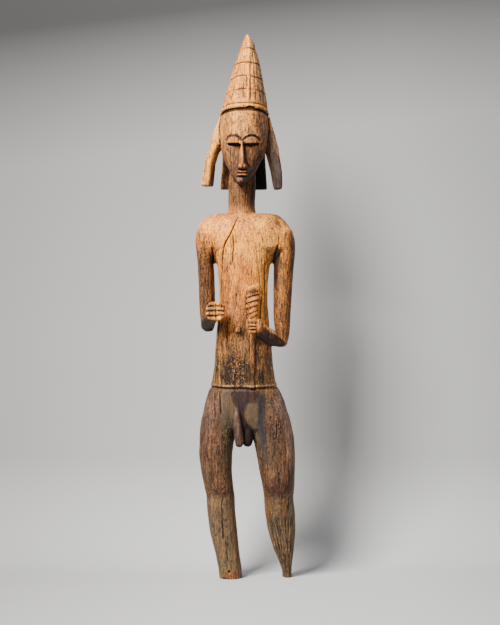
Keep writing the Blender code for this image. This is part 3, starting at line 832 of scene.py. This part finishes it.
class Nodes:
    """A material's node tree, with short ways to add to it."""

    def __init__(self, name):
        self.material = bpy.data.materials.new(name)
        self.material.use_nodes = True
        self.tree = self.material.node_tree
        self.shader = self.tree.nodes["Principled BSDF"]

    def add(self, kind, inputs=(), **settings):
        """A new node, with its inputs linked to sockets or set to values."""
        node = self.tree.nodes.new(kind)
        for key, value in settings.items():
            setattr(node, key, value)
        for key, value in dict(inputs).items():
            if isinstance(value, bpy.types.NodeSocket):
                self.tree.links.new(value, node.inputs[key])
            else:
                node.inputs[key].default_value = value
        return node

    def maths(self, operation, *values, clamp=False):
        node = self.add("ShaderNodeMath", enumerate(values), operation=operation, use_clamp=clamp)
        return node.outputs[0]

    def ramp(self, value, stops):
        """A colour for the value, between stops that are each (position, colour)."""
        node = self.add("ShaderNodeValToRGB", {"Fac": value})
        band = node.color_ramp
        band.elements[0].position, band.elements[0].color = stops[0][0], (*stops[0][1], 1)
        band.elements[1].position, band.elements[1].color = stops[-1][0], (*stops[-1][1], 1)
        for position, colour in stops[1:-1]:
            band.elements.new(position).color = (*colour, 1)
        return node.outputs["Color"]

    def mix(self, amount, first, second, blend="MIX"):
        """Two colours mixed. The mix node's sockets 0, 6 and 7 are its amount and its two colours."""
        node = self.add("ShaderNodeMix", data_type="RGBA", blend_type=blend)
        for key, value in ((0, amount), (6, first), (7, second)):
            if isinstance(value, bpy.types.NodeSocket):
                self.tree.links.new(value, node.inputs[key])
            else:
                node.inputs[key].default_value = value if key == 0 else (*value, 1)
        return node.outputs[2]

    def noise(self, scale, stretch, detail):
        """Noise on the object, drawn out along its height where the stretch is small."""
        where = self.add("ShaderNodeTexCoord").outputs["Object"]
        moved = self.add("ShaderNodeMapping", {"Vector": where, "Scale": (1, 1, stretch)}).outputs[0]
        inputs = {"Vector": moved, "Scale": scale, "Detail": detail, "Roughness": 0.55}
        return self.add("ShaderNodeTexNoise", inputs).outputs["Fac"]

    def layer(self, name):
        """The values of this name that the mesh keeps."""
        return self.add("ShaderNodeAttribute", attribute_name=name).outputs["Fac"]

    def bump(self, height, strength, distance, inputs=()):
        settings = {"Strength": strength, "Distance": distance, "Height": height, **dict(inputs)}
        return self.add("ShaderNodeBump", settings).outputs[0]


WOOD_TONES = (
    # (tone, colour)
    (0.0, (0.013, 0.007, 0.004)),
    (0.22, (0.056, 0.028, 0.012)),
    (0.42, (0.148, 0.072, 0.024)),
    (0.62, (0.320, 0.138, 0.032)),
    (0.82, (0.600, 0.250, 0.036)),
    (1.0, (0.920, 0.440, 0.052)),
)
WOOD_TINTS = (
    # (name, what it multiplies the colour by)
    ("red", (1.15, 0.82, 0.85)),
    ("orange", (1.15, 0.86, 0.62)),
    ("olive", (0.86, 1.08, 1.35)),
    ("grey", (0.86, 1.02, 2.0)),
)
# the colour of dirt, and of painted shade
DIRT_AND_SHADE_COLOUR = (0.007, 0.004, 0.003)
CALMING = 0.75  # how much of the fine grain is gone where the wood is calm
FLECK_DARKNESS = 3.2
CRUST_DARKNESS = 3.0
ROUGHNESS, BLOTCH_ROUGHNESS, STAIN_ROUGHNESS = 0.46, 0.3, 0.25
SPECULAR = 0.22


def weathered_wood():
    """Rubbed old hardwood: long grain, fine fibres, dark flecks, and the stains and painted shade that the
    carving left.
    """
    n = Nodes("weathered_hardwood")
    grain = n.noise(330, 0.07, 4)
    fibres = n.noise(620, 0.14, 2)
    specks = n.noise(520, 0.6, 2)
    blotches = n.noise(75, 0.35, 5)
    flecks = n.noise(420, 0.28, 2)
    crust_specks = n.noise(560, 0.75, 1)
    tone = n.layer("tone")
    lively = n.maths("SUBTRACT", 1.0, n.maths("MULTIPLY", n.layer("calm"), CALMING))
    for source, strength in ((grain, 0.9), (fibres, 0.9), (blotches, 0.5), (specks, 0.9)):
        change = n.maths("MULTIPLY", n.maths("SUBTRACT", source, 0.5), strength)
        tone = n.maths("ADD", tone, n.maths("MULTIPLY", change, lively))
    dark_fleck = n.maths("MULTIPLY", n.maths("SUBTRACT", flecks, 0.55, clamp=True), FLECK_DARKNESS)
    tone = n.maths("SUBTRACT", tone, n.maths("MULTIPLY", dark_fleck, lively), clamp=True)
    crusted = n.maths("MULTIPLY", n.layer("crust"), n.maths("SUBTRACT", crust_specks, 0.45))
    tone = n.maths("SUBTRACT", tone, n.maths("MULTIPLY", crusted, CRUST_DARKNESS), clamp=True)
    colour = n.ramp(tone, WOOD_TONES)
    for name, factor in WOOD_TINTS:
        colour = n.mix(n.layer(name), colour, n.mix(1.0, colour, factor, "MULTIPLY"))
    colour = n.mix(n.layer("stain_and_shade"), colour, DIRT_AND_SHADE_COLOUR)
    rough = n.maths("ADD", ROUGHNESS, n.maths("MULTIPLY", blotches, BLOTCH_ROUGHNESS))
    rough = n.maths("ADD", rough, n.maths("MULTIPLY", n.layer("stain_and_shade"), STAIN_ROUGHNESS), clamp=True)
    grain_bump = n.bump(grain, 0.7, 0.8 * MM)
    fleck_bump = n.bump(flecks, 0.5, 0.4 * MM, {"Normal": grain_bump})
    n.tree.links.new(colour, n.shader.inputs["Base Color"])
    n.tree.links.new(rough, n.shader.inputs["Roughness"])
    n.tree.links.new(fleck_bump, n.shader.inputs["Normal"])
    n.shader.inputs["Specular IOR Level"].default_value = SPECULAR
    return n.material


figure = thin_out(surface.mesh)
figure.data.materials.clear()
figure.data.materials.append(weathered_wood())
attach(figure, BODY)
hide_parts(NODE)

# The studio
BACKDROP_HALF_WIDTH = 4.0
BACKDROP_NEAR, BACKDROP_FAR = -3.6, 0.30
BACKDROP_TOP = 3.4
BACKDROP_BEND = 0.22
BEND_STEPS = 16
PAPER_TILT = 0.12  # the paper darkens towards its top and its left
PAPER_BY_HEIGHT = (
    # (share of the backdrop's height, grey)
    (0.0, 0.47), (0.1, 0.42), (0.16, 0.39), (0.27, 0.29), (0.36, 0.04),
)
PAPER_BY_SIDE = (
    # (share of the backdrop's width, grey)
    (0.38, 0.42), (0.44, 0.70), (0.49, 1.0), (0.54, 1.0), (0.57, 0.84), (0.66, 0.5),
)
PAPER_ROUGHNESS = 0.9
LIGHTS = (
    # (name, place, aim, size, watts, colour)
    ("key", (-1.5, -2.0, 2.9), (0, 0, 0.75), 1.3, 400, (1, 0.98, 0.95)),
    ("fill", (1.6, -3.0, 0.9), (0, 0, 0.5), 1.6, 10, (1, 0.98, 0.96)),
    ("edge", (1.5, 0.25, 1.5), (0, 0, 0.6), 0.8, 16, (0.92, 0.92, 1)),
)
WORLD_COLOUR, WORLD_STRENGTH = (0.97, 0.98, 1, 1), 0.13


def greys(stops):
    return [(position, (grey,) * 3) for position, grey in stops]


def backdrop_paper():
    """Pale paper with a soft fall of light painted over it, and clear where it is seen from behind."""
    n = Nodes("backdrop_paper")
    place = n.add("ShaderNodeTexCoord").outputs["Object"]
    parts = n.add("ShaderNodeSeparateXYZ", {"Vector": place}).outputs
    lifted = n.maths("SUBTRACT", parts["Z"], n.maths("MULTIPLY", parts["X"], PAPER_TILT))
    sideways = n.maths("ADD", n.maths("DIVIDE", parts["X"], 2 * BACKDROP_HALF_WIDTH), 0.5)
    by_height = n.ramp(n.maths("DIVIDE", lifted, BACKDROP_TOP), greys(PAPER_BY_HEIGHT))
    by_side = n.ramp(sideways, greys(PAPER_BY_SIDE))
    n.tree.links.new(n.mix(1.0, by_height, by_side, "MULTIPLY"), n.shader.inputs["Base Color"])
    n.shader.inputs["Roughness"].default_value = PAPER_ROUGHNESS
    behind = n.add("ShaderNodeNewGeometry").outputs["Backfacing"]
    clear = n.add("ShaderNodeBsdfTransparent").outputs[0]
    one_sided = n.add("ShaderNodeMixShader", {0: behind, 1: n.shader.outputs[0], 2: clear})
    n.tree.links.new(one_sided.outputs[0], n.tree.nodes["Material Output"].inputs["Surface"])
    return n.material


def backdrop():
    """A pale floor that curves up into a wall behind the figure."""
    bend_start = BACKDROP_FAR - BACKDROP_BEND
    profile = [(BACKDROP_NEAR, 0), (bend_start, 0)]
    for turn in np.linspace(0, math.pi / 2, BEND_STEPS + 1)[1:]:
        y = bend_start + BACKDROP_BEND * math.sin(turn)
        profile.append((y, BACKDROP_BEND * (1 - math.cos(turn))))
    profile.append((BACKDROP_FAR, BACKDROP_TOP))
    bm = bmesh.new()
    sides = (-BACKDROP_HALF_WIDTH, BACKDROP_HALF_WIDTH)
    rows = [[bm.verts.new((x, y, z)) for x in sides] for y, z in profile]
    for (a, b), (c, d) in zip(rows, rows[1:]):
        bm.faces.new((a, b, d, c))
    mesh = bpy.data.meshes.new("backdrop")
    bm.to_mesh(mesh)
    bm.free()
    mesh.shade_smooth()
    piece = bpy.data.objects.new("backdrop", mesh)
    bpy.context.scene.collection.objects.link(piece)
    mesh.materials.append(backdrop_paper())


def softbox(name, place, aim, size, watts, colour):
    light = bpy.data.lights.new(name, "AREA")
    light.size = size
    light.energy = watts
    light.color = colour
    lamp = bpy.data.objects.new(name, light)
    lamp.location = place
    lamp.rotation_euler = (Vector(aim) - Vector(place)).to_track_quat("-Z", "Y").to_euler()
    bpy.context.scene.collection.objects.link(lamp)


def camera():
    """The photograph's camera, level and looking to the back."""
    lens = bpy.data.cameras.new("camera")
    lens.sensor_width = SENSOR
    lens.lens = SENSOR * FOCAL_PIXELS / PICTURE_TALL
    eye = bpy.data.objects.new("camera", lens)
    eye.location = EYE
    eye.rotation_euler = (math.pi / 2, 0, 0)
    bpy.context.scene.collection.objects.link(eye)
    bpy.context.scene.camera = eye


backdrop()
camera()
for light in LIGHTS:
    softbox(*light)
world = bpy.data.worlds.new("studio")
world.use_nodes = True
world.node_tree.nodes["Background"].inputs["Color"].default_value = WORLD_COLOUR
world.node_tree.nodes["Background"].inputs["Strength"].default_value = WORLD_STRENGTH
bpy.context.scene.world = world
